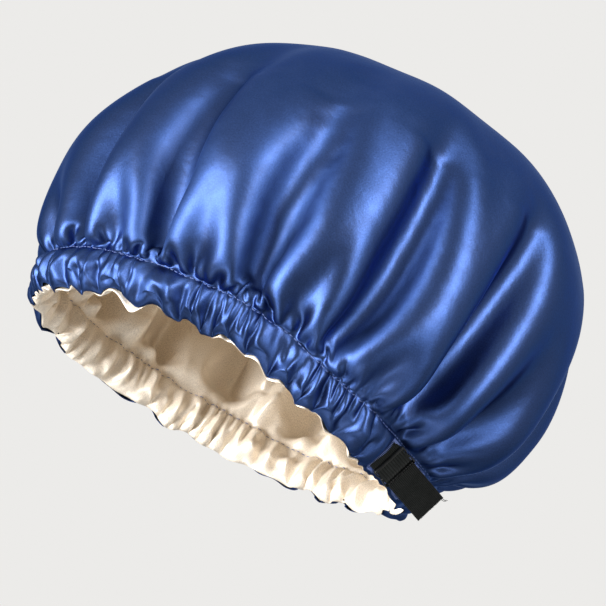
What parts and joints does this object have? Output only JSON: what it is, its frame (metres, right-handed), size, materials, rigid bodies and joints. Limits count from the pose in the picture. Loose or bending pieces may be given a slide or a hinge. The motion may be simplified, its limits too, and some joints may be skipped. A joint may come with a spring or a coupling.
{
  "type": "sleep cap",
  "caption": "Round double-layer satin sleep cap, gathered on an elastic band in a casing, with a slider strap at the nape.",
  "frame": {"origin": "centre of the head opening, in the plane of its edge", "axes": "+Z from the opening to the crown, +X to the nape, where the strap is, +Y to the wearer's right side"},
  "size_m": [0.302, 0.2999, 0.2269],
  "materials": {
    "blue_satin": "royal-blue satin with a soft sheen",
    "champagne_satin": "champagne satin with a soft sheen",
    "black_elastic": "matte woven elastic",
    "black_plastic": "smooth black",
    "blue_thread": "sewing thread"
  },
  "bodies": {
    "cap": {"outer_cloth": "blue_satin", "lining": "champagne_satin", "elastic_band": "black_elastic", "casing_stitch": "blue_thread", "slit_stitch": "blue_thread"},
    "slider": {"slider": "black_plastic", "strap_turn": "black_elastic"},
    "tail": {"strap_tail": "black_elastic"}
  },
  "joints": [
    {"name": "slider_slide", "type": "slide", "parent": "cap", "child": "slider", "axis": [0, 1, 0], "range_m": [-0.006, 0.01]},
    {"name": "tail_lift", "type": "hinge", "parent": "cap", "child": "tail", "pos_m": [0.11228, 0.01815, -0.006], "axis": [-0.4067, 0, -0.9135], "range_deg": [0, 85]}
  ]
}
